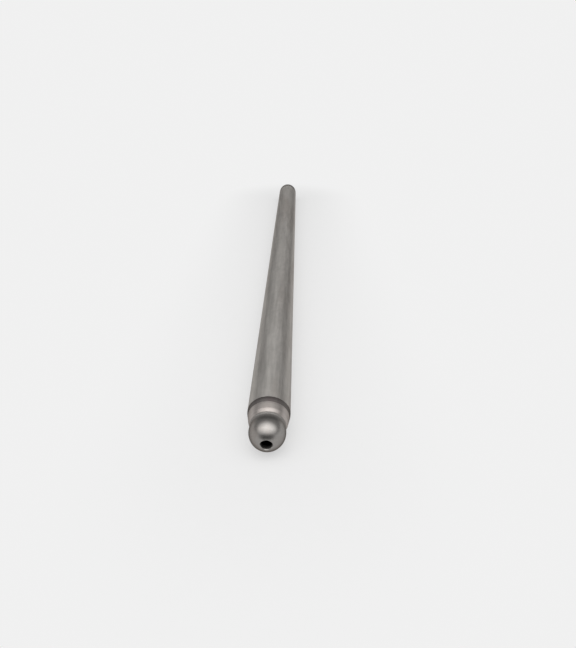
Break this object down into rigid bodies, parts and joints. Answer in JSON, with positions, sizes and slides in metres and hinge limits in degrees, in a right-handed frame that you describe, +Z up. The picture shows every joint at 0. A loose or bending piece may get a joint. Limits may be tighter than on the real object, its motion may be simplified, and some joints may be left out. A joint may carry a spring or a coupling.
{
  "type": "engine pushrod",
  "caption": "Straight steel engine pushrod: a tube with a collared ball tip, a domed tip at the far end and an oil way right through, which carries the cam's lift to a rocker arm.",
  "frame": {"origin": "on the rod's axis, half way between the rims of the two oil holes", "axes": "+Y along the rod from the ball end to the domed end, +Z up as the rod lies in the picture, +X to the right as seen from the ball end"},
  "size_m": [0.0096, 0.2103, 0.0094],
  "materials": {
    "tube_steel": "satin dark grey with a fine lengthwise grain, heat tinted at the rolled ends",
    "ball_steel": "fine turned, with a faint brown heat tint",
    "dome_steel": "fine turned"
  },
  "bodies": {
    "root": {"tube": "tube_steel", "ball_end": "ball_steel", "domed_end": "dome_steel"}
  },
  "joints": []
}
